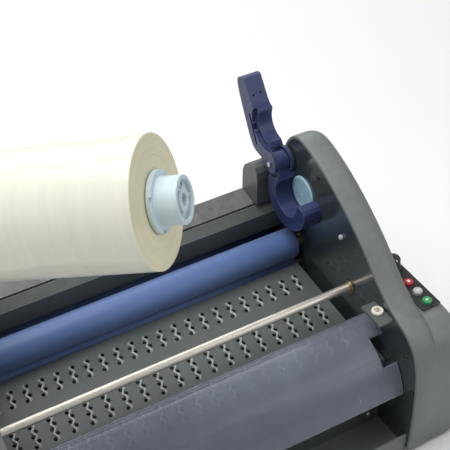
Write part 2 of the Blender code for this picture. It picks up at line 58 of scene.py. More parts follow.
DECK_BACK, DECK_FRONT = (-14.4, 100.0), (-150.0, 87.7)
VENT_ROWS = ((-36.5, 10.5, 22, 14.9), (-79.5, 15.5, 19, 17.33), (-117.0, 13.0, 19, 17.33))
VENT_LEAN = 0.12
KNOB_AT = (220.0, -99.0)
BUTTONS_AT = {"run_button": (220.0, -152.0), "reverse_button": (220.0, -138.0), "stop_button": (220.0, -124.0)}
PANEL = [(-198, 5.6), (-199, 60), (-196, 104), (-189, 122), (-178, 133), (-163, 139.3), (-147, 146), (-131, 156.5),
         (-117, 170), (-97, 187), (-78, 200.5), (-58, 212.8), (-39, 222.5), (-20, 230), (-4, 234.6), (6, 234.8),
         (14, 231), (20.5, 223.5), (25.5, 213), (29.4, 201.7), (34, 190), (44, 178), (59, 162), (80, 131), (97, 104),
         (106, 60), (108, 5.6)]
WIDE = [(-200, 3.6), (-201, 60), (-198, 103), (-189, 122), (-176, 131), (-160, 136), (-30, 136), (40, 129), (78, 118),
        (97, 100), (108, 60), (110, 3.6)]
SIDES = (("right", 1), ("left", -1))


# ---------------------------------------------------------------- materials
def new_material(name):
    mat = bpy.data.materials.new(name)
    mat.use_nodes = True
    tree = mat.node_tree
    shader = tree.nodes["Principled BSDF"]
    coords = tree.nodes.new("ShaderNodeTexCoord")
    return mat, tree, shader, coords.outputs["Object"]


def noise(tree, vector, scale, detail=4.0, rough=0.55, stretch=None):
    if stretch:
        mapping = tree.nodes.new("ShaderNodeMapping")
        mapping.inputs["Scale"].default_value = stretch
        tree.links.new(vector, mapping.inputs["Vector"])
        vector = mapping.outputs["Vector"]
    tex = tree.nodes.new("ShaderNodeTexNoise")
    tex.inputs["Scale"].default_value = scale
    tex.inputs["Detail"].default_value = detail
    tex.inputs["Roughness"].default_value = rough
    tree.links.new(vector, tex.inputs["Vector"])
    return tex.outputs["Fac"]


def ramp(tree, fac, stops):
    node = tree.nodes.new("ShaderNodeValToRGB")
    while len(node.color_ramp.elements) < len(stops):
        node.color_ramp.elements.new(0.5)
    for element, (place, color) in zip(node.color_ramp.elements, stops):
        element.position = place
        element.color = (*color, 1) if len(color) == 3 else color
    tree.links.new(fac, node.inputs["Fac"])
    return node.outputs["Color"]


def spread(tree, fac, low, high, from_low=0.3, from_high=0.7):
    node = tree.nodes.new("ShaderNodeMapRange")
    node.inputs["From Min"].default_value = from_low
    node.inputs["From Max"].default_value = from_high
    node.inputs["To Min"].default_value = low
    node.inputs["To Max"].default_value = high
    tree.links.new(fac, node.inputs["Value"])
    return node.outputs["Result"]


def mix(tree, fac, a, b, mode="MIX"):
    node = tree.nodes.new("ShaderNodeMix")
    node.data_type = "RGBA"
    node.blend_type = mode
    sockets = {s.identifier: s for s in node.inputs}
    for value, key in ((fac, "Factor_Float"), (a, "A_Color"), (b, "B_Color")):
        if isinstance(value, bpy.types.NodeSocket):
            tree.links.new(value, sockets[key])
        else:
            sockets[key].default_value = value if key == "Factor_Float" else (*value, 1)
    return next(s for s in node.outputs if s.identifier == "Result_Color")


def math_node(tree, operation, a, b=0.0):
    node = tree.nodes.new("ShaderNodeMath")
    node.operation = operation
    for i, value in enumerate((a, b)):
        if isinstance(value, bpy.types.NodeSocket):
            tree.links.new(value, node.inputs[i])
        else:
            node.inputs[i].default_value = value
    return node.outputs[0]


def bump(tree, height, strength, distance, normal=None):
    node = tree.nodes.new("ShaderNodeBump")
    node.inputs["Strength"].default_value = strength
    node.inputs["Distance"].default_value = distance
    tree.links.new(height, node.inputs["Height"])
    if normal:
        tree.links.new(normal, node.inputs["Normal"])
    return node.outputs["Normal"]


def edge_mask(tree, radius):
    """Bright where the surface turns sharply within the radius, in metres."""
    bevel = tree.nodes.new("ShaderNodeBevel")
    bevel.samples = 4
    bevel.inputs["Radius"].default_value = radius
    geometry = tree.nodes.new("ShaderNodeNewGeometry")
    dot = tree.nodes.new("ShaderNodeVectorMath")
    dot.operation = "DOT_PRODUCT"
    tree.links.new(bevel.outputs["Normal"], dot.inputs[0])
    tree.links.new(geometry.outputs["Normal"], dot.inputs[1])
    return spread(tree, dot.outputs["Value"], 1.0, 0.0, 0.86, 0.985)


def shade(color, k):
    return tuple(min(1.0, c * k) for c in color)


def plastic(name, color, rough=0.42, grain_mm=0.7, grain_depth=0.05, mottle=0.10, wear_and_edge_highlight=0.0, coat=0.0, specular=0.5,
            dust=0.0):
    """Moulded plastic: spark-eroded grain, slight cloudiness, rubbed edges partly lightened as a painted edge
    highlight, and settled dust.
    """
    mat, tree, shader, at = new_material(name)
    cloud = noise(tree, at, 22.0, 5.0)
    fine = noise(tree, at, 1000.0 / grain_mm, 3.0, 0.6)
    base = ramp(tree, cloud, ((0.28, shade(color, 1 - mottle)), (0.5, color), (0.74, shade(color, 1 + mottle))))
    base = mix(tree, spread(tree, fine, 0.0, 0.16), base, shade(color, 0.72))
    # Edges lightened: partly rubbed wear, partly a painted highlight where the edges catch light.
    if wear_and_edge_highlight:
        wear_and_highlight_mask = math_node(tree, "MULTIPLY", edge_mask(tree, 0.0009), spread(tree, noise(tree, at, 160.0), 0.2, wear_and_edge_highlight))
        base = mix(tree, wear_and_highlight_mask, base, tuple(0.5 * c + 0.30 for c in color))
    if dust:
        geometry = tree.nodes.new("ShaderNodeNewGeometry")
        split = tree.nodes.new("ShaderNodeSeparateXYZ")
        tree.links.new(geometry.outputs["Normal"], split.inputs[0])
        up = spread(tree, split.outputs["Z"], 0.0, dust, 0.55, 1.0)
        lay = math_node(tree, "MULTIPLY", up, spread(tree, noise(tree, at, 70.0, 6.0, 0.7), 0.0, 1.0, 0.35, 0.7))
        base = mix(tree, lay, base, (0.62, 0.61, 0.58))
    tree.links.new(base, shader.inputs["Base Color"])
    streak = noise(tree, at, 9.0, 6.0, 0.7)
    tree.links.new(spread(tree, streak, rough - 0.07, rough + 0.09), shader.inputs["Roughness"])
    tree.links.new(bump(tree, fine, 0.35, grain_depth * MM), shader.inputs["Normal"])
    shader.inputs["Coat Weight"].default_value = coat
    shader.inputs["Coat Roughness"].default_value = 0.08
    shader.inputs["Specular IOR Level"].default_value = specular
    return mat


def metal(name, color, rough=0.28, stretch=(1.0, 1.0, 1.0), line_mm=0.25, depth=0.01, tarnish=0.12, metallic=1.0):
    """Ground or drawn metal: fine lines along one way, faint smears."""
    mat, tree, shader, at = new_material(name)
    lines = noise(tree, at, 1000.0 / line_mm, 3.0, 0.6, stretch)
    smear = noise(tree, at, 35.0, 5.0, 0.65)
    base = ramp(tree, smear, ((0.3, shade(color, 1 - tarnish)), (0.55, color), (0.8, shade(color, 1 + tarnish * 0.5))))
    base = mix(tree, spread(tree, lines, 0.0, 0.22), base, shade(color, 0.7))
    tree.links.new(base, shader.inputs["Base Color"])
    tree.links.new(spread(tree, smear, rough - 0.06, rough + 0.10), shader.inputs["Roughness"])
    tree.links.new(bump(tree, lines, 0.3, depth * MM), shader.inputs["Normal"])
    shader.inputs["Metallic"].default_value = metallic
    return mat


def rubber(name, color, rough=0.55, sheen=0.3, lines=0.0):
    """Ground rubber: pores, faint turning marks and pale powder."""
    mat, tree, shader, at = new_material(name)
    pores = noise(tree, at, 1400.0, 4.0, 0.7)
    cloud = noise(tree, at, 14.0, 5.0, 0.6, (0.35, 1.0, 1.0))
    turn = noise(tree, at, 900.0, 2.0, 0.5, (1.0, 0.02, 0.02))
    base = ramp(tree, cloud, ((0.3, shade(color, 0.86)), (0.55, color), (0.78, shade(color, 1.16))))
    base = mix(tree, spread(tree, pores, 0.0, 0.22, 0.45, 0.75), base, shade(color, 1.5))
    base = mix(tree, spread(tree, turn, 0.0, 0.15 + lines, 0.45, 0.7), base, shade(color, 0.7))
    tree.links.new(base, shader.inputs["Base Color"])
    tree.links.new(spread(tree, cloud, rough - 0.08, rough + 0.1), shader.inputs["Roughness"])
    height = math_node(tree, "ADD", pores, math_node(tree, "MULTIPLY", turn, 0.6))
    tree.links.new(bump(tree, height, 0.35, 0.05 * MM), shader.inputs["Normal"])
    shader.inputs["Sheen Weight"].default_value = sheen
    shader.inputs["Sheen Roughness"].default_value = 0.4
    return mat


def painted_sheet(name, color, rough=0.45, metallic=0.0):
    """Powder-coated steel sheet with orange peel, scuffs along the feed direction and a painted highlight along its
    edges.
    """
    mat, tree, shader, at = new_material(name)
    peel = noise(tree, at, 850.0, 2.0, 0.5)
    cloud = noise(tree, at, 16.0, 6.0, 0.6)
    scuff = noise(tree, at, 420.0, 4.0, 0.65, (1.0, 0.05, 0.05))
    base = ramp(tree, cloud, ((0.3, shade(color, 0.9)), (0.55, color), (0.8, shade(color, 1.12))))
    base = mix(tree, spread(tree, scuff, 0.0, 0.3, 0.62, 0.78), base, shade(color, 1.7))
    # Painted highlight: every sharp edge lightened as if catching light.
    base = mix(tree, math_node(tree, "MULTIPLY", edge_mask(tree, 0.0007), 0.55), base, shade(color, 1.9))
    tree.links.new(base, shader.inputs["Base Color"])
    tree.links.new(spread(tree, cloud, rough - 0.08, rough + 0.1), shader.inputs["Roughness"])
    tree.links.new(bump(tree, peel, 0.3, 0.05 * MM), shader.inputs["Normal"])
    shader.inputs["Metallic"].default_value = metallic
    return mat


def film_material(name, side_color, end_color, half):
    """Wound clear film seen as a milky roll: bands on the side, fine rings at the ends.

    Local X is the roll's axis."""
    mat, tree, shader, at = new_material(name)
    split = tree.nodes.new("ShaderNodeSeparateXYZ")
    tree.links.new(at, split.inputs[0])
    y2 = math_node(tree, "MULTIPLY", split.outputs["Y"], split.outputs["Y"])
    z2 = math_node(tree, "MULTIPLY", split.outputs["Z"], split.outputs["Z"])
    radius = math_node(tree, "SQRT", math_node(tree, "ADD", y2, z2))
    combine = tree.nodes.new("ShaderNodeCombineXYZ")
    tree.links.new(radius, combine.inputs[0])
    rings = noise(tree, combine.outputs[0], 900.0, 6.0, 0.75)
    broad = noise(tree, combine.outputs[0], 160.0, 3.0, 0.6)
    ends = ramp(tree, rings, ((0.32, shade(end_color, 0.66)), (0.5, end_color), (0.68, shade(end_color, 1.18))))
    ends = mix(tree, spread(tree, broad, 0.0, 0.45, 0.4, 0.62), ends, shade(end_color, 0.84))
    bands = noise(tree, at, 26.0, 5.0, 0.6, (6.0, 0.25, 0.25))
    lengthwise = noise(tree, at, 60.0, 4.0, 0.6, (0.12, 1.0, 1.0))
    side = ramp(tree, bands, ((0.3, shade(side_color, 0.955)), (0.55, side_color), (0.8, shade(side_color, 1.03))))
    side = mix(tree, spread(tree, lengthwise, 0.0, 0.10, 0.4, 0.7), side, shade(side_color, 0.86))
    at_end = spread(tree, math_node(tree, "ABSOLUTE", split.outputs["X"]), 0.0, 1.0, (half - 0.7) * MM,
                    (half - 0.3) * MM)
    tree.links.new(mix(tree, at_end, side, ends), shader.inputs["Base Color"])
    tree.links.new(spread(tree, at_end, 0.24, 0.5, 0.0, 1.0), shader.inputs["Roughness"])
    height = math_node(tree, "ADD", math_node(tree, "MULTIPLY", at_end, rings), math_node(tree, "MULTIPLY", bands, 0.5))
    tree.links.new(bump(tree, height, 0.35, 0.12 * MM), shader.inputs["Normal"])
    shader.inputs["Subsurface Weight"].default_value = 0.25
    shader.inputs["Subsurface Radius"].default_value = (1.0, 0.8, 0.5)
    shader.inputs["Subsurface Scale"].default_value = 0.004
    shader.inputs["Coat Weight"].default_value = 0.35
    shader.inputs["Coat Roughness"].default_value = 0.12
    return mat


def smoked(name, color):
    """Smoked acrylic: tinted through its depth, hairline scratches, slightly hazy."""
    mat, tree, shader, at = new_material(name)
    haze = noise(tree, at, 18.0, 5.0, 0.6)
    hair = noise(tree, at, 700.0, 4.0, 0.7, (1.0, 0.06, 0.06))
    base = ramp(tree, haze, ((0.3, shade(color, 0.88)), (0.55, color), (0.8, shade(color, 1.1))))
    tree.links.new(base, shader.inputs["Base Color"])
    rough = math_node(tree, "ADD", spread(tree, haze, 0.10, 0.2), spread(tree, hair, 0.0, 0.12, 0.6, 0.75))
    tree.links.new(rough, shader.inputs["Roughness"])
    tree.links.new(bump(tree, hair, 0.04, 0.01 * MM), shader.inputs["Normal"])
    shader.inputs["Transmission Weight"].default_value = 0.72
    shader.inputs["IOR"].default_value = 1.3
    shader.inputs["Specular IOR Level"].default_value = 0.5
    return mat


def board_material(name):
    """Green laminate with tracks and pads."""
    mat, tree, shader, at = new_material(name)
    brick = tree.nodes.new("ShaderNodeTexBrick")
    brick.inputs["Scale"].default_value = 90.0
    brick.inputs["Mortar Size"].default_value = 0.05
    brick.inputs["Color1"].default_value = (0.012, 0.085, 0.035, 1)
    brick.inputs["Color2"].default_value = (0.014, 0.10, 0.04, 1)
    brick.inputs["Mortar"].default_value = (0.04, 0.22, 0.09, 1)
    tree.links.new(at, brick.inputs["Vector"])
    tree.links.new(mix(tree, spread(tree, noise(tree, at, 300.0), 0.0, 0.4), brick.outputs["Color"],
                       (0.02, 0.13, 0.05)),
                   shader.inputs["Base Color"])
    tree.links.new(spread(tree, noise(tree, at, 60.0), 0.25, 0.45), shader.inputs["Roughness"])
    tree.links.new(bump(tree, brick.outputs["Fac"], 0.2, 0.05 * MM), shader.inputs["Normal"])
    return mat


RIM_GREY = (0.158, 0.174, 0.168)
BAR_GREY = (0.088, 0.099, 0.094)
M = {
    "rim": plastic("rim_grey_plastic", RIM_GREY, 0.48, 0.9, 0.06, 0.05, wear_and_edge_highlight=0.25, dust=0.10),
    "bar": plastic("bar_grey_plastic", BAR_GREY, 0.42, 0.9, 0.06, 0.07, wear_and_edge_highlight=0.5, dust=0.16),
    "panel": plastic("dark_gloss_plastic", (0.038, 0.047, 0.049), 0.20, 0.5, 0.008, 0.12, wear_and_edge_highlight=0.3, coat=0.6),
    "deck": painted_sheet("deck_powder_coat", (0.098, 0.110, 0.105), 0.42),
    # Vent strips: the deck's sheet made lighter, partly as worn bare metal and partly as a painted highlight for the
    # light the raised strips catch.
    "strip": painted_sheet("pressed_strip_with_painted_highlight", (0.35, 0.37, 0.345), 0.34, 0.1),
    "pan": painted_sheet("pan_powder_coat", (0.14, 0.15, 0.15), 0.5),
    "navy": plastic("navy_plastic", (0.026, 0.037, 0.118), 0.40, 0.8, 0.05, 0.16, wear_and_edge_highlight=0.45, dust=0.03),
    "disc": plastic("pale_blue_plastic", (0.36, 0.58, 0.68), 0.4, 0.7, 0.04, 0.06, wear_and_edge_highlight=0.3),
    "cap": plastic("cap_plastic", (0.58, 0.70, 0.73), 0.38, 0.7, 0.03, 0.05, wear_and_edge_highlight=0.25),
    "roller": rubber("roller_rubber", (0.095, 0.165, 0.365), 0.5, 0.25),
    "pull": rubber("pull_rubber", (0.085, 0.145, 0.32), 0.55, 0.2),
    "bumper": rubber("bumper_rubber", (0.80, 0.76, 0.62), 0.6, 0.2),
    "foot": rubber("foot_rubber", (0.025, 0.025, 0.026), 0.7, 0.2),
    "steel": metal("ground_steel", (0.52, 0.52, 0.53), 0.3, (0.03, 1.0, 1.0)),
    "gear_steel": metal("cut_steel", (0.42, 0.42, 0.43), 0.36, (1.0, 0.1, 0.1)),
    "chrome": metal("drawn_chrome", (0.82, 0.78, 0.68), 0.36, (0.02, 1.0, 1.0), 0.3, 0.006, 0.06, 0.8),
    "brass": metal("turned_brass", (0.46, 0.37, 0.20), 0.34, (1.0, 0.05, 0.05), 0.3, 0.015, 0.2),
    "zinc": metal("zinc_screw", (0.60, 0.60, 0.58), 0.3, (1.0, 1.0, 1.0), 0.3, 0.01, 0.2),
    "motor": metal("motor_can", (0.38, 0.39, 0.40), 0.4, (0.05, 1.0, 1.0), 0.4, 0.02, 0.15),
    "film": film_material("wound_film", (0.84, 0.835, 0.71), (0.78, 0.72, 0.48), FILM_LEN / 2),
    "card": plastic("core_card", (0.42, 0.33, 0.20), 0.8, 1.2, 0.10, 0.18),
    "smoke": smoked("smoked_acrylic", (0.42, 0.46, 0.55)),
    "black": plastic("black_plastic", (0.018, 0.018, 0.020), 0.42, 0.8, 0.05, 0.15, wear_and_edge_highlight=0.4),
    "white": plastic("white_plastic", (0.78, 0.78, 0.74), 0.4, 0.8, 0.03, 0.05, wear_and_edge_highlight=0.1),
    "nylon": plastic("nylon", (0.70, 0.67, 0.56), 0.5, 0.9, 0.04, 0.06),
    "green": plastic("green_key", (0.035, 0.30, 0.09), 0.4, 0.8, 0.04, 0.08),
    "grey_key": plastic("grey_key", (0.42, 0.43, 0.43), 0.4, 0.8, 0.04, 0.06),
    "red": plastic("red_key", (0.42, 0.025, 0.025), 0.4, 0.8, 0.04, 0.08),
    "board": board_material("circuit_laminate"),
    "chip": plastic("chip_epoxy", (0.02, 0.02, 0.02), 0.5, 0.5, 0.03, 0.2),
}


# ---------------------------------------------------------------- mesh building
def mesh_object(name, verts, faces, mat, at=(0, 0, 0), rotation=None, smooth_deg=35.0):
    mesh = bpy.data.meshes.new(name)
    origin = Vector(at)
    mesh.from_pydata([(Vector(v) - origin) * MM for v in verts], [], faces)
    work = bmesh.new()
    work.from_mesh(mesh)
    bmesh.ops.remove_doubles(work, verts=work.verts, dist=1e-7)
    bmesh.ops.recalc_face_normals(work, faces=work.faces)
    work.to_mesh(mesh)
    work.free()
    obj = bpy.data.objects.new(name, mesh)
    obj.location = origin * MM
    if rotation:
        obj.rotation_mode = "QUATERNION"
        obj.rotation_quaternion = rotation
    bpy.context.scene.collection.objects.link(obj)
    mesh.materials.append(mat)
    smooth(mesh, smooth_deg)
    return obj


def smooth(mesh, degrees):
    mesh.shade_smooth()
    mesh.set_sharp_from_angle(angle=math.radians(degrees))


def loft(name, rings, mat, **more):
    n = len(rings[0])
    verts = [p for ring in rings for p in ring]
    faces = [tuple(range(n)), tuple(range(len(verts) - n, len(verts)))]
    for k in range(len(rings) - 1):
        for i in range(n):
            j = (i + 1) % n
            faces.append((k * n + i, k * n + j, (k + 1) * n + j, (k + 1) * n + i))
    return mesh_object(name, verts, faces, mat, **more)


def prism(name, outline, x0, x1, mat, **more):
    return loft(name, [[(x, y, z) for y, z in outline] for x in (x0, x1)], mat, **more)


def box(name, x0, x1, y0, y1, z0, z1, mat, **more):
    return prism(name, [(y0, z0), (y1, z0), (y1, z1), (y0, z1)], x0, x1, mat, **more)


def circle(centre, r, n=48, start=0.0, sweep=360.0):
    steps = n if sweep == 360.0 else n + 1
    return [(centre[0] + r * math.cos(math.radians(start + sweep * i / n)),
             centre[1] + r * math.sin(math.radians(start + sweep * i / n))) for i in range(steps)]


def turned(name, profile, mat, n=96, centre=(0, 0), axis="X", place=(0, 0, 0), **more):
    """A closed (along, r) loop turned about an axis. It is solid on the axis where it starts and ends at r = 0."""
    count = len(profile)
    verts, faces = [], []
    for i in range(n):
        a = 2 * math.pi * i / n
        for t, r in profile:
            u, v = r * math.cos(a), r * math.sin(a)
            if axis == "X":
                verts.append((t, centre[0] + u, centre[1] + v))
            elif axis == "Z":
                verts.append((place[0] + u, place[1] + v, place[2] + t))
            else:
                verts.append((place[0] + u, place[1] + t, place[2] + v))
    for i in range(n):
        j = (i + 1) % n
        for k in range(count):
            m = (k + 1) % count
            if m == 0 and profile[0][1] == 0:
                continue
            faces.append((i * count + k, i * count + m, j * count + m, j * count + k))
    return mesh_object(name, verts, faces, mat, **more)


def inset(outline, d):
    area = sum(a[0] * b[1] - b[0] * a[1] for a, b in zip(outline, outline[1:] + outline[:1]))
    sign = 1 if area > 0 else -1
    out = []
    for i, p in enumerate(outline):
        before = Vector((p[0] - outline[i - 1][0], p[1] - outline[i - 1][1])).normalized()
        after = outline[(i + 1) % len(outline)]
        after = Vector((after[0] - p[0], after[1] - p[1])).normalized()
        mid = (Vector((-before.y, before.x)) + Vector((-after.y, after.x))) * sign
        mid = mid / max(mid.length_squared / 2, 0.6)
        out.append((p[0] + mid.x * d, p[1] + mid.y * d))
    return out


def rounded(outline, times=2, keep=0.6):
    """Corner cutting that leaves the corners sharper than this cosine alone."""
    for _ in range(times):
        out = []
        for i, p in enumerate(outline):
            q, r = outline[i - 1], outline[(i + 1) % len(outline)]
            a = Vector((p[0] - q[0], p[1] - q[1])).normalized()
            b = Vector((r[0] - p[0], r[1] - p[1])).normalized()
            if a.dot(b) < keep:
                out.append(p)
                continue
            out.append((p[0] * 0.75 + q[0] * 0.25, p[1] * 0.75 + q[1] * 0.25))
            out.append((p[0] * 0.75 + r[0] * 0.25, p[1] * 0.75 + r[1] * 0.25))
        outline = out
    return outline


def apply_boolean(obj, other, operation="DIFFERENCE"):
    step = obj.modifiers.new("cut", "BOOLEAN")
    step.operation, step.solver, step.object = operation, "EXACT", other
    bake(obj)
    bpy.data.objects.remove(other, do_unlink=True)
    return obj


def bake(obj):
    """Applies the object's modifiers to its mesh."""
    graph = bpy.context.evaluated_depsgraph_get()
    graph.update()
    mesh = bpy.data.meshes.new_from_object(obj.evaluated_get(graph))
    obj.modifiers.clear()
    obj.data = mesh
    return obj


def soften(obj, width=0.6, segments=3, degrees=32.0, smooth_deg=40.0):
    """Rounds the edges sharper than an angle."""
    step = obj.modifiers.new("round", "BEVEL")
    step.width = width * MM
    step.segments = segments
    step.limit_method = "ANGLE"
    step.angle_limit = math.radians(degrees)
    step.harden_normals = True
    step.miter_outer = "MITER_ARC"
    smooth(obj.data, smooth_deg)
    return obj


def join(name, parts):
    """One object from several, in the row's frame."""
    work = bmesh.new()
    mats = []
    for part in parts:
        base = len(work.faces)
        part.data.transform(part.matrix_basis)
        work.from_mesh(part.data)
        work.faces.ensure_lookup_table()
        for face in work.faces[base:]:
            mat = part.data.materials[face.material_index]
            if mat not in mats:
                mats.append(mat)
            face.material_index = mats.index(mat)
    mesh = bpy.data.meshes.new(name)
    work.to_mesh(mesh)
    work.free()
    for mat in mats:
        mesh.materials.append(mat)
    for part in parts:
        bpy.data.objects.remove(part, do_unlink=True)
    obj = bpy.data.objects.new(name, mesh)
    bpy.context.scene.collection.objects.link(obj)
    smooth(mesh, 40)
    return obj


def put(obj, body, node=None):
    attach(obj, body)
    if node:
        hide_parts(*([node] if isinstance(node, str) else node))
    return obj


def paint(node, mat, bevel=0.0, smooth_deg=35.0):
    """A CAD node that is shown as it is, with a finished material and rounded edges."""
    obj = nodes[node]
    obj.data.materials.clear()
    obj.data.materials.append(mat)
    if bevel:
        soften(obj, bevel, 3, 35.0, smooth_deg)
    else:
        smooth(obj.data, smooth_deg)
    return obj


def screw(name, at, direction, r=2.6, mat=None):
    """A pan-head screw with a cross recess. 'at' is the seat of the head, 'direction' points out of it."""
    head = [(0, 0), (0, r), (0.5, r), (1.0, r * 0.9), (1.45, r * 0.62), (1.6, r * 0.3), (1.6, 0)]
    body = turned(name, [(t, q) for t, q in head], mat or M["zinc"], 28)
    arms = []
    for k in range(2):
        w, l = r * 0.13, r * 0.62
        y, z = (w, l) if k else (l, w)
        arms.append(loft("recess", [[(x, -y * g, -z * g), (x, y * g, -z * g), (x, y * g, z * g), (x, -y * g, z * g)]
                                    for x, g in ((0.55, 0.7), (2.2, 1.0))], M["chip"]))
    for arm in arms:
        apply_boolean(body, arm)
    turn = Vector((1, 0, 0)).rotation_difference(Vector(direction))
    body.data.transform(Matrix.Translation(Vector(at) * MM) @ turn.to_matrix().to_4x4())
    smooth(body.data, 40)
    return body


def through(points, per=6):
    """A smooth open line through points."""
    out = []
    for i in range(len(points) - 1):
        p0 = points[max(i - 1, 0)]
        p1, p2 = points[i], points[i + 1]
        p3 = points[min(i + 2, len(points) - 1)]
        for k in range(per):
            t = k / per
            out.append(tuple(0.5 * (2 * b + (c - a) * t + (2 * a - 5 * b + 4 * c - d) * t * t
                                    + (3 * b - a - 3 * c + d) * t**3)
                             for a, b, c, d in zip(p0, p1, p2, p3)))
    return out + [tuple(points[-1])]


# ---------------------------------------------------------------- film roll
roll_turn = Vector((1, 0, 0)).rotation_difference(Vector(ROLL_AXIS).normalized())


def on_roll(obj):
    obj.rotation_mode = "QUATERNION"
    obj.rotation_quaternion = roll_turn
    obj.location = Vector(ROLL_CENTRE) * MM
    return obj


half = FILM_LEN / 2
rings = 30
right_end = []
for i in range(rings + 1):
    r = CORE_R + 0.3 + (FILM_R - 0.7 - CORE_R) * i / rings
    right_end.append((half - 0.10 - 0.22 * abs(math.sin(i * 12.9898) * math.cos(i * 4.1)), r))
right_end[-1] = (half - 0.12, FILM_R - 0.5)
film = on_roll(turned("film_winding_detailed", [(-x, r) for x, r in right_end] + [(-half + 0.5, FILM_R)]
                      + [(half - 0.5, FILM_R)] + right_end[::-1], M["film"], 160))
put(film, "film_roll", "film_winding")
core = on_roll(turned("film_core_detailed", [(-half, 16.6), (-half, 18.7), (-half + 0.3, CORE_R), (half - 0.3, CORE_R),
                                            (half, 18.7), (half, 16.6)], M["card"], 96))
put(core, "film_roll", "film_core")

for side, s in SIDES:
    f, h = half + 4.0, half + 20.5
    outline = [(half - 20, 0), (half - 20, 15.8), (half - 18, 16.3), (half + 0.3, 16.3), (half + 0.3, 21.6),
               (half + 0.9, 22.25), (f - 0.8, 22.25), (f, 21.4), (f, 17.9), (f + 0.6, 17.2), (h - 1.0, 17.2),
               (h - 0.3, 16.9),
               (h, 16.2), (h, 14.3), (h - 0.5, 13.7), (h - 3.2, 13.4), (h - 3.2, 9.0), (h - 1.0, 8.6), (h - 0.6, 8.0),
               (h - 0.6, 5.0), (h - 1.2, 4.4), (h - 7.0, 4.1), (h - 7.0, 0)]
    cap = turned(f"roll_cap_{side}_detailed", [(s * x, r) for x, r in outline], M["cap"], 96)
    for k in range(2):
        a = math.radians(35 + 180 * k)
        apply_boolean(cap, turned("hole", [(s * (h - 9), 0), (s * (h - 9), 1.6), (s * (h + 1), 1.6), (s * (h + 1), 0)],
                                  M["cap"], 24, (11.2 * math.cos(a), 11.2 * math.sin(a))))
    for k in range(3):
        a = 95 + 120 * k
        c, w = math.cos(math.radians(a)), math.sin(math.radians(a))
        rib = [(c * u - w * v, w * u + c * v) for u, v in ((8.2, -0.9), (14.0, -0.9), (14.0, 0.9), (8.2, 0.9))]
        apply_boolean(cap, prism("rib", rib, s * (h - 3.6), s * (h - 1.4), M["cap"]), "UNION")
    for k in range(4):
        a = 45 + 90 * k
        c, w = math.cos(math.radians(a)), math.sin(math.radians(a))
        notch = [(c * u - w * v, w * u + c * v) for u, v in ((19.6, -2.2), (23.5, -2.2), (23.5, 2.2), (19.6, 2.2))]
        apply_boolean(cap, prism("notch", notch, s * (f - 1.4), s * (f + 1), M["cap"]))
    smooth(cap.data, 35)
    put(on_roll(cap), "roll_caps", f"roll_cap_{side}")

# ---------------------------------------------------------------- rollers, rod, bushes
for tag, at in (("upper", UPPER), ("lower", LOWER)):
    e = ROLLER_END
    profile = [(-e, 6.3), (-e, 13.6), (-e + 0.5, 14.6), (-e + 1.4, 14.97), (e - 1.4, 14.97), (e - 0.5, 14.6),
               (e, 13.6), (e, 6.3)]
    put(turned(f"{tag}_roller_detailed", profile, M["roller"], 128, at, at=(0, *at)), f"{tag}_roll", f"{tag}_roller")
    shaft = [(-189, 0), (-189, 5.3), (-188.3, 6), (-184, 6), (-184, 5.5), (-183, 5.5), (-183, 6), (197.2, 6),
             (198, 5.3), (198, 0)]
    put(turned(f"{tag}_roller_shaft_detailed", shaft, M["steel"], 64, at, at=(0, *at)), f"{tag}_roll",
        f"{tag}_roller_shaft")
for tag, at, r in (("upper", PULL_UP, 11.9), ("lower", PULL_LOW, 12.0)):
    profile = [(-189, 0), (-189, 4.5), (-188.4, 5), (-173, 5), (-172, r - 1.2), (-171.4, r - 0.3), (-170.4, r),
               (170.4, r), (171.4, r - 0.3), (172, r - 1.2), (173, 5), (197.4, 5), (198, 4.5), (198, 0)]
    put(turned(f"{tag}_pull_roller_detailed", profile, M["pull"], 96, at, at=(0, *at)), f"{tag}_pull",
        f"{tag}_pull_roller")
profile = [(-183, 0), (-183, 3.4), (-182.4, 4.0), (-181, 4.0), (-181, 3.5), (-180.2, 3.5), (-180.2, 4.0), (180.2, 4.0),
           (180.2, 3.5), (181, 3.5), (181, 4.0), (182.4, 4.0), (183, 3.4), (183, 0)]
put(turned("idler_rod_detailed", profile, M["chrome"], 64, ROD, at=(0, *ROD)), "idler_rod", "idler_rod")
for side, s in SIDES:
    x0, x1 = PANEL_X - 3.4, PANEL_X - 0.3
    profile = [(s * x0, 4.2), (s * x0, 5.2), (s * (x0 + 0.4), 5.6), (s * (x0 + 1.3), 5.7), (s * (x0 + 1.5), 6.4),
               (s * (x0 + 1.9), 6.7), (s * (x1 - 0.2), 6.7), (s * x1, 6.5), (s * x1, 4.2)]
    put(turned(f"rod_bush_{side}_detailed", profile, M["brass"], 64, ROD), "frame", f"rod_bush_{side}")

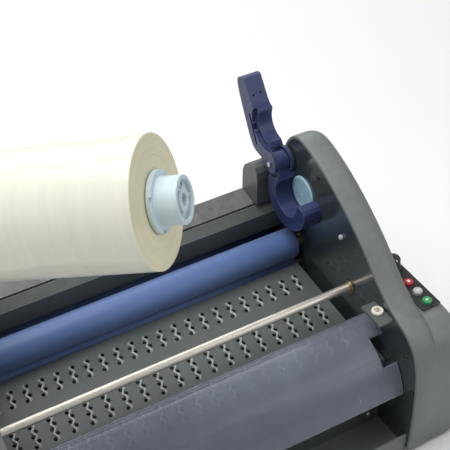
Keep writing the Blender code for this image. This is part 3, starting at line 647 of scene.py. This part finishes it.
# ---------------------------------------------------------------- side bodies
panel_line = rounded(PANEL, 2, 0.80)
wide_line = rounded(WIDE, 3, 0.70)
for side, s in SIDES:
    rim = inset(panel_line, -2.6)
    steps = [(0.0, 0.7), (0.25, 0.28), (0.7, 0.0)]
    steps += [(FIN_T - 16 + 16 * math.sin(a), 14 * (1 - math.cos(a))) for a in [math.radians(9 * k) for k in range(11)]]
    fin = loft(f"side_fin_{side}", [[(s * (PANEL_X + x), y, z) for y, z in inset(rim, d)] for x, d in steps], M["rim"])
    cut = [(-1, 0), (18, 0), (22, 2.6), (25.5, 6.5)]
    apply_boolean(fin, loft("hollow", [[(s * (PANEL_X + x), y, z) for y, z in inset(panel_line, d)] for x, d in cut],
                            M["rim"]))
    wide = [(PANEL_X + 5.0, 0)]
    wide += [(WIDE_X - 14 + 14 * math.sin(a), 14 * (1 - math.cos(a)))
             for a in [math.radians(10 * k) for k in range(10)]]
    lower = loft("wide", [[(s * x, y, z) for y, z in inset(wide_line, d)] for x, d in wide], M["rim"])
    room = [(PANEL_X + 4.0, 2.6), (WIDE_X - 14.5, 2.6), (WIDE_X - 8, 4.6), (WIDE_X - 3, 11)]
    apply_boolean(fin, lower, "UNION")
    apply_boolean(fin, loft("room", [[(s * x, y, z) for y, z in inset(wide_line, d)] for x, d in room], M["rim"]))
    if s > 0:
        for x, y in BUTTONS_AT.values():
            apply_boolean(fin, turned("hole", [(-4, 0), (-4, 5.0), (8, 5.0), (8, 0)], M["rim"], 40, axis="Z",
                                      place=(x, y, 134)))
        apply_boolean(fin, turned("hole", [(-4, 0), (-4, 3.4), (8, 3.4), (8, 0)], M["rim"], 32, axis="Z",
                                  place=(*KNOB_AT, 134)))
    for y, z in ((-168, 30), (-60, 30), (70, 30)):
        apply_boolean(fin, turned("well", [(s * 236.9, 0), (s * 236.9, 4.2), (s * 240, 4.2), (s * 240, 0)], M["rim"],
                                  40, (y, z)))
    smooth(fin.data, 32)
    put(fin, "frame", f"side_cover_{side}")
    put(join(f"cover_screws_{side}", [screw("s", (s * 237.0, y, z), (s, 0, 0), 2.9) for y,
                                      z in ((-168, 30), (-60, 30), (70, 30))]),
        "frame", None)

    panel = prism(f"inner_panel_{side}_detailed", inset(panel_line, 0.3), s * PANEL_X, s * (PANEL_X + PANEL_T),
                  M["panel"])
    for at, r in ((UPPER, 8.0), (LOWER, 8.0), (PULL_UP, 6.0), (PULL_LOW, 6.0), (ROD, 4.5), (SHIELD_AXIS, 4.4)):
        apply_boolean(panel, turned("hole", [(s * 176, 0), (s * 176, r), (s * 184, r), (s * 184, 0)], M["panel"], 48,
                                    at))
    soften(panel, 0.35, 2, 40)
    put(panel, "frame", f"inner_panel_{side}")
    spots = ((-186, 20), (-180, 112), (-40, 30), (88, 22), (80, 100), (-30, 214))
    put(join(f"panel_screws_{side}", [screw("s", (s * (PANEL_X - 0.02), y, z), (-s, 0, 0), 2.3, M["chip"]) for y,
                                      z in spots]),
        "frame", None)

    # Hub disc: a thin disc with a faint step and a centre dimple
    d = PANEL_X
    profile = [(s * (d - 1.4), 0), (s * (d - 1.4), 1.6), (s * (d - 1.65), 1.7), (s * (d - 1.65), 13.9),
               (s * (d - 1.9), 14.0),
               (s * (d - 1.9), 16.4), (s * (d - 1.6), 17.0), (s * (d - 1.2), 17.3), (s * (d - 0.3), 17.3),
               (s * (d - 0.3), 0)]
    put(turned(f"hub_disc_{side}_detailed", profile, M["disc"], 96, SEAT), "frame", f"hub_disc_{side}")
    profile = [(s * (d - 3.4), 0), (s * (d - 3.4), 0.8), (s * (d - 3.2), 1.6), (s * (d - 2.6), 2.2),
               (s * (d - 1.8), 2.5),
               (s * (d - 0.3), 2.5), (s * (d - 0.3), 0)]
    put(turned(f"panel_peg_{side}_detailed", profile, M["grey_key"], 40, PEG), "frame", f"panel_peg_{side}")

    # Bumper: soft domed pad with a screw in its centre
    place = (s * (PANEL_X - 6.4), -141.5, 0)
    profile = [(139.3, 0), (139.3, 5.3), (139.6, 5.6), (140.9, 5.6), (141.5, 5.3), (141.9, 4.7), (142.0, 4.0),
               (141.8, 3.2),
               (141.2, 2.9), (140.4, 2.8), (140.4, 0)]
    put(turned(f"bumper_{side}_detailed", profile, M["bumper"], 64, axis="Z", place=place), "frame", f"bumper_{side}")
    put(join(f"bumper_screw_{side}", [screw("s", (place[0], place[1], 140.42), (0, 0, 1), 1.9)]), "frame", None)
    for end, y in (("front", -165), ("rear", 75)):
        profile = [(0, 0), (0, 4.4), (0.5, 4.6), (0.5, 6.6), (0, 6.9), (0, 8.0), (0.5, 8.9), (1.1, 9.4), (2.3, 9.4),
                   (2.7, 9.1), (2.7, 0)]
        put(turned(f"foot_{end}_{side}_detailed", profile, M["foot"], 48, axis="Z", place=(s * 209, y, 0)), "frame",
            f"foot_{end}_{side}")

# ---------------------------------------------------------------- shield
over = through([(-113.2, 110.4), (-117.0, 113.6), (-122, 115.6), (-136, 115.9), (-148, 113.8), (-158, 108.8),
                (-167, 100.6),
                (-175, 89.6), (-181, 77.6), (-184, 68)], 5)
under = through([(-115.0, 108.6), (-118.2, 111.0), (-122, 112.8), (-135.7, 113.1), (-147.1, 111.1), (-156.4, 106.5),
                 (-164.9, 98.7), (-172.6, 88.2), (-178.4, 76.6), (-181.3, 67.2)], 5)
shield = prism("safety_shield_detailed", over + under[::-1], -SHIELD_HALF, SHIELD_HALF, M["smoke"],
               at=(0, *SHIELD_AXIS))
for side, s in SIDES:
    apply_boolean(shield, box("notch", *sorted((s * 161.8, s * 180)), -169.5, -145.0, 95, 120, M["smoke"]))
rod = [(-181.1, 0), (-181.1, 3.6), (-180.7, 4.0), (180.7, 4.0), (181.1, 3.6), (181.1, 0)]
apply_boolean(shield, turned("pin", rod, M["smoke"], 48, SHIELD_AXIS), "UNION")
soften(shield, 0.5, 2, 40)
put(shield, "safety_shield", "safety_shield")

# ---------------------------------------------------------------- deck and its vents
slope = (DECK_BACK[1] - DECK_FRONT[1]) / (DECK_BACK[0] - DECK_FRONT[0])


def deck_z(y):
    return DECK_BACK[1] + (y - DECK_BACK[0]) * slope


deck = prism("feed_deck_detailed", [DECK_BACK, DECK_FRONT, (DECK_FRONT[0], DECK_FRONT[1] - 1.6),
                                    (DECK_BACK[0], DECK_BACK[1] - 1.6)], -DECK_HALF, DECK_HALF, M["deck"])
soften(deck, 0.35, 2, 40)
bake(deck)
verts, faces, strips = [], [], []
for row_y, reach, count, pitch in VENT_ROWS:
    holes = round(2 * reach / VENT_STEP)
    step = 2 * reach / holes
    for k in range(count):
        cx = pitch * ((count - 1) / 2 - k)

        def wave(y):
            """Centre of the raised strip at this distance from the middle of the vent."""
            return cx + VENT_LEAN * y - VENT_WAVE * math.cos(math.pi * ((reach - y) / step - 0.5))

        for h in range(holes):
            y = reach - step * (h + 0.5)
            hx = cx + VENT_LEAN * y + (-HOLE_OFF if h % 2 else HOLE_OFF)
            start, m = len(verts), 14
            for z in (-4, 4):
                verts += [(hx + HOLE_RX * math.cos(2 * math.pi * i / m),
                           row_y + y + HOLE_RY * math.sin(2 * math.pi * i / m),
                           deck_z(row_y + y) + z) for i in range(m)]
            faces.append(tuple(start + i for i in reversed(range(m))))
            faces.append(tuple(start + m + i for i in range(m)))
            faces += [(start + i, start + (i + 1) % m, start + m + (i + 1) % m, start + m + i) for i in range(m)]
        rows, cuts = [], 5 * holes
        for i in range(cuts + 1):
            y = reach - 0.6 - (2 * reach - 1.2) * i / cuts
            x, z = wave(y), deck_z(row_y + y)
            end = min(1.0, 3.2 * i / cuts, 3.2 * (cuts - i) / cuts)
            lift = 0.15 + 1.25 * end ** 0.5
            rows.append([(x + dx, row_y + y, z + dz) for dx, dz in (
                (-1.25, -0.7), (-1.25, lift - 0.5), (-0.65, lift), (0.65, lift), (1.25, lift - 0.5), (1.25, -0.7))])
        strips.append(loft("strip", rows, M["strip"], smooth_deg=60))
apply_boolean(deck, mesh_object("holes", verts, faces, M["deck"]))
smooth(deck.data, 35)
put(deck, "frame", "feed_deck")
put(join("deck_vent_strips", strips), "frame", None)

# ---------------------------------------------------------------- carried-over CAD nodes
for node, look, bevel in (
        ("base_pan", "pan", 0.0), ("rear_cover", "bar", 0.5), ("rear_panel", "bar", 0.4), ("nip_guard", "bar", 0.6),
        ("front_apron", "deck", 0.3), ("control_board", "board", 0.2), ("power_supply", "motor", 1.0),
        ("control_panel", "black", 0.4), ("power_rocker", "black", 0.6), ("power_inlet", "black", 0.5),
        ("run_button", "green", 0.4), ("reverse_button", "grey_key", 0.4), ("stop_button", "red", 0.4),
        ("gear_motor", "motor", 0.5), ("motor_pinion", "brass", 0.0), ("idler_gear", "nylon", 0.0),
        ("lower_roller_gear", "gear_steel", 0.0), ("upper_roller_gear", "gear_steel", 0.0),
        ("lower_pull_gear", "nylon", 0.0), ("upper_pull_gear", "nylon", 0.0)):
    paint(node, M[look], bevel)
for side, s in SIDES:
    for node, look, bevel in ((f"hinge_pin_{side}", "steel", 0.5), (f"shelf_pad_{side}", "deck", 0.5),
                              (f"bearing_block_{side}", "brass", 0.3)):
        paint(node, M[look], bevel)

# ---------------------------------------------------------------- cradles and latch arms
co, si = math.cos(math.radians(ARM_OPEN_DEG)), math.sin(math.radians(ARM_OPEN_DEG))


def arm(points):
    return [(HINGE[0] + co * u - si * v, HINGE[1] + si * u + co * v) for u, v in points]


def bar_x(centre, r, x0, x1, n=64):
    return prism("bar", circle(centre, r, n), *sorted((x0, x1)), M["navy"])


for side, s in SIDES:
    outline = circle(SEAT, LATCH_SEAT_R, 56, 40, -228)
    outline += [(-26.2, 183.6), (-27.6, 185.6), (-35.5, 184.9), (-38.6, 182.0), (-39.6, 176)]
    outline += circle(SEAT, 32.0, 44, 203, 177)
    outline += circle(HINGE, 10.0, 30, -40, 240)
    outline += [(9.0, 198.0)]
    cradle = prism(f"cradle_{side}_detailed", outline, *sorted((s * (PANEL_X - 20), s * (PANEL_X - 0.3))), M["navy"])
    apply_boolean(cradle, bar_x(HINGE, BOSS_CLEAR_R, s * (ARM_X1 - ARM_WALL - 0.6), s * (PANEL_X + 2)))
    apply_boolean(cradle, bar_x(HINGE, BOSS_CLEAR_R, s * 150, s * (ARM_X0 + ARM_WALL + 0.6)))
    apply_boolean(cradle, bar_x(HINGE, PIN_HOLE_R, s * 140, s * 190, 32))
    soften(cradle, 0.7, 3, 30)
    put(cradle, "frame", f"cradle_{side}")

    outline = circle((0, 0), 9.5, 24, 100, 170)
    outline += through([(8, -14.5), (14.5, -21.0), (21, -24.0), (33, -24.2), (58, -22.0), (76, -19.4)], 5)
    outline += through([(82, -17.8), (85.4, -15.0), (86.4, -11.0), (86.0, -6.0)], 4)
    outline += [(84.0, -3.4), (60, -2.6), (54.5, -1.6), (51.5, 0.8)]
    outline += circle((34.4, 11.5), 18.6, 32, -36, -116)
    outline += [(13.0, 7.6), (6.0, 9.3)]
    inner, outer = s * (ARM_X0 + ARM_WALL), s * (ARM_X1 - ARM_WALL)
    lever = prism(f"latch_arm_{side}_detailed", arm(outline), *sorted((s * ARM_X0, s * ARM_X1)), M["navy"],
                  at=(s * (ARM_X0 + ARM_X1) / 2, *HINGE))
    relief = [(3.5, 6), (9, 1), (16.4, 0.4), (19.6, 0.4), (19.6, 13), (3.5, 13)]
    apply_boolean(lever, prism("relief", arm(relief), *sorted((inner, s * (ARM_X1 + 1))), M["navy"]))
    apply_boolean(lever, bar_x(HINGE, LUG_R, outer, s * ARM_X1), "UNION")
    apply_boolean(lever, bar_x(HINGE, BARREL_R, inner, outer))
    apply_boolean(lever, prism("flange", arm(circle((34.4, 11.5), FLANGE_CUT_R, 72)),
                               *sorted((s * (ARM_X0 - 1), s * (ARM_X0 + ARM_WALL + 1))),
                               M["navy"]))
    apply_boolean(lever, bar_x(HINGE, PIN_HOLE_R, s * 140, s * 190, 32))
    slot = circle((20, -15.5), 1.6, 14, 100, 180) + circle((49, -12.2), 1.6, 14, -80, 180)
    apply_boolean(lever, prism("slot", arm(slot), *sorted((s * (ARM_X0 - 1), s * (ARM_X0 + 6))), M["navy"]))
    for x, u in ((162.6, 66.0), (170.4, 67.0)):
        middle = arm([(u, -3)])[0]
        normal = Vector((0, -si, co))
        turn = Vector((0, 1, 0)).rotation_difference(normal)
        hole = turned("hole", [(-5, 0), (-5, 1.15), (5, 1.15), (5, 0)], M["navy"], 24, axis="Y")
        hole.data.transform(Matrix.Translation(Vector((s * x, *middle)) * MM) @ turn.to_matrix().to_4x4())
        apply_boolean(lever, hole)
    soften(lever, 0.7, 3, 30)
    put(lever, f"latch_arm_{side}", f"latch_arm_{side}")

# ---------------------------------------------------------------- controls
flutes = []
for z, r, depth in ((137.9, 8.2, 0), (138.3, 8.6, 0), (140.0, 8.6, 0), (141.0, 7.5, 0.25), (142.0, 7.4, 0.6),
                    (148.4, 7.05, 0.55),
                    (149.4, 6.7, 0.2), (150, 6.0, 0), (150, 4.4, 0), (149.5, 4.0, 0)):
    ring = []
    for i in range(96):
        a = 2 * math.pi * i / 96
        q = r - depth * (0.5 + 0.5 * math.cos(16 * a)) ** 2
        ring.append((KNOB_AT[0] + q * math.cos(a), KNOB_AT[1] + q * math.sin(a), z))
    flutes.append(ring)
stem = turned("stem", [(130, 0), (130, 3.0), (138.5, 3.0), (138.5, 0)], M["black"], 40, axis="Z", place=(*KNOB_AT, 0))
knob = apply_boolean(loft("speed_knob_detailed", flutes, M["black"], at=(*KNOB_AT, 140)), stem, "UNION")
smooth(knob.data, 40)
put(knob, "speed_knob", "speed_knob")
put(box("knob_pointer", KNOB_AT[0] - 0.5, KNOB_AT[0] + 0.5, KNOB_AT[1] - 6.6, KNOB_AT[1] - 4.6, 149.0, 150.15,
        M["white"]), "speed_knob",
    None)
marks = []
for i in range(11):
    a = math.radians(-90 - 27 * i)
    c, w = math.cos(a), math.sin(a)
    size = 1.6 if i % 5 == 0 else 1.0
    corners = [(10.0, -0.25), (10.0 + size, -0.25), (10.0 + size, 0.25), (10.0, 0.25)]
    marks.append(loft("mark", [[(KNOB_AT[0] + (c * u - w * v) * 0.92, KNOB_AT[1] + w * u + c * v, z) for u,
                                v in corners]
                               for z in (137.5, 137.72)], M["white"]))
put(join("speed_marks", marks), "frame", None)
for name, (x, y) in BUTTONS_AT.items():
    shapes = {"run_button": [[(-1.6, -1.5), (-1.6, 1.5), (1.8, 0)]],
              "reverse_button": [[(1.6, -1.5), (-1.8, 0), (1.6, 1.5)]],
              "stop_button": [[(-1.4, -1.4), (1.4, -1.4), (1.4, 1.4), (-1.4, 1.4)]]}[name]
    icons = [loft("icon", [[(x + u, y + v, z) for u, v in shape] for z in (140.2, 140.45)],
                  M["white"]) for shape in shapes]
    put(join(name + "_icon", icons), name, None)

# Inlet pins, rear and apron screws
pins = [box("pin", x - 1.0, x + 1.0, 92, 102, z - 2.0, z + 2.0, M["steel"]) for x,
        z in ((-143.5, 34.5), (-129.5, 34.5), (-136.5, 29.5))]
put(join("inlet_pins", pins), "frame", None)
spots = [(-165, 106.9, 18), (165, 106.9, 18), (-60, 106.9, 18), (60, 106.9, 18)]
put(join("rear_screws", [screw("s", p, (0, 1, 0.055), 2.5) for p in spots]), "frame", None)
spots = [(x, -153.0, 16) for x in (-165, -55, 55, 165)]
put(join("apron_screws", [screw("s", p, (0, -1, 0), 2.5) for p in spots]), "frame", None)

# Control board parts
parts = []
for x, y, w, l, h in ((-20, -80, 14, 14, 1.6), (12, -92, 10, 6, 1.5), (30, -70, 8, 5, 1.5), (-42, -60, 10, 5, 1.5),
                      (44, -96, 12, 8, 9),
                      (-48, -96, 8, 12, 10)):
    parts.append(loft("part", [[(x - w / 2 + g, y - l / 2 + g, z), (x + w / 2 - g, y - l / 2 + g, z),
                                (x + w / 2 - g, y + l / 2 - g, z),
                                (x - w / 2 + g, y + l / 2 - g, z)] for z,
                                g in ((17.7, 0), (17.7 + h * 0.8, 0), (17.7 + h, 0.3))], M["chip"]))
for x, y, r, h in ((0, -60, 5, 14), (14, -60, 4, 11), (-8, -100, 3, 8), (26, -100, 3, 8)):
    parts.append(turned("part", [(17.7, 0), (17.7, r - 0.4), (18.5, r), (17.2 + h, r), (17.7 + h, r - 0.5),
                                 (17.5 + h, r - 1), (17.5 + h, 0)],
                        M["motor"], 32, axis="Z", place=(x, y, 0)))
put(join("board_components", parts), "frame", None)

# ---------------------------------------------------------------- stage, light and camera
floor_mat, tree, shader, at = new_material("floor_paper")
tree.links.new(ramp(tree, noise(tree, at, 3.0), ((0.3, (0.86, 0.86, 0.855)), (0.7, (0.89, 0.89, 0.885)))),
               shader.inputs["Base Color"])
shader.inputs["Roughness"].default_value = 0.7
floor = box("floor", -4000, 4000, -4000, 4000, -20, -0.05, floor_mat)

world = bpy.data.worlds.new("studio")
bpy.context.scene.world = world
world.use_nodes = True
world.node_tree.nodes["Background"].inputs[0].default_value = (0.93, 0.95, 1.0, 1)
world.node_tree.nodes["Background"].inputs[1].default_value = 0.30


def area(name, place, target, size, watts, color=(1, 1, 1)):
    light = bpy.data.lights.new(name, "AREA")
    light.shape = "RECTANGLE"
    light.size, light.size_y = size
    light.energy = watts
    light.color = color
    obj = bpy.data.objects.new(name, light)
    obj.location = place
    obj.rotation_euler = (Vector(target) - Vector(place)).to_track_quat("-Z", "Y").to_euler()
    bpy.context.scene.collection.objects.link(obj)
    return obj


area("key", (-0.45, 0.15, 1.9), (0, 0, 0.15), (1.5, 1.2), 30)
area("fill", (1.2, -1.3, 1.2), (0, -0.05, 0.12), (1.2, 1.2), 7)
area("back", (0.3, 1.4, 1.2), (0, 0, 0.15), (1.4, 0.7), 10)

camera = bpy.data.cameras.new("camera")
camera.lens = 96.0
camera.sensor_width = 36.0
camera.clip_start = 0.05
eye = bpy.data.objects.new("camera", camera)
eye.location = (-0.3361, -0.7378, 0.893)
eye.rotation_euler = Vector((0.38646, 0.65880, -0.64546)).to_track_quat("-Z", "Y").to_euler()
bpy.context.scene.collection.objects.link(eye)
bpy.context.scene.camera = eye
bpy.context.scene.view_settings.view_transform = "Standard"
